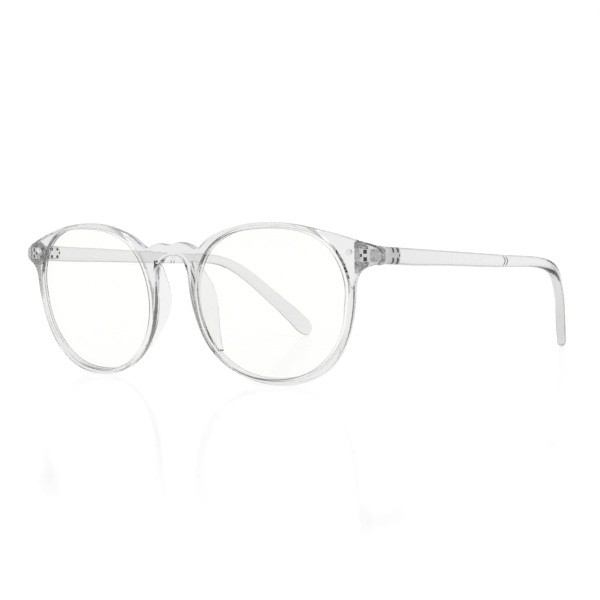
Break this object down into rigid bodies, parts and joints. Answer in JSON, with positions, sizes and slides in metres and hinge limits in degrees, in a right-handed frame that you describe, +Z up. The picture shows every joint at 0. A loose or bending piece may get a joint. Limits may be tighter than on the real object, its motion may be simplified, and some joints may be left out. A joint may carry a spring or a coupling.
{
  "type": "blue light glasses",
  "caption": "Clear round-rimmed spectacles with faintly tinted filter lenses, keyhole bridge, moulded nose pads and folding temples that curve down behind the ears.",
  "frame": {"origin": "on the table surface, under the middle of the open glasses' bounding box", "axes": "+X towards the wearer's left, +Y from the front back along the open temples, +Z up; the glasses stand on the bottoms of both rims and on both temple tips"},
  "size_m": [0.1336, 0.142, 0.0456],
  "materials": {
    "clear_plastic": "polished clear injection-moulded nylon",
    "lens": "clear resin with a faint warm filter tint",
    "hinge_metal": "nickel plated, dull",
    "screw_metal": "bright turned steel",
    "rivet_metal": "polished"
  },
  "bodies": {
    "front": {"front_frame": "clear_plastic", "left_lens": "lens", "right_lens": "lens", "left_front_hinge": "hinge_metal", "right_front_hinge": "hinge_metal", "left_hinge_screw": "screw_metal", "right_hinge_screw": "screw_metal", "left_rivet": "rivet_metal", "right_rivet": "rivet_metal"},
    "left_temple": {"left_temple": "clear_plastic", "left_temple_hinge": "hinge_metal"},
    "right_temple": {"right_temple": "clear_plastic", "right_temple_hinge": "hinge_metal"}
  },
  "joints": [
    {"name": "left_temple_fold", "type": "hinge", "parent": "front", "child": "left_temple", "pos_m": [0.0618, -0.0582, 0.03624], "axis": [0, 0, 1], "range_deg": [0, 86]},
    {"name": "right_temple_fold", "type": "hinge", "parent": "front", "child": "right_temple", "pos_m": [-0.0618, -0.0582, 0.03624], "axis": [0, 0, -1], "range_deg": [0, 74]}
  ]
}
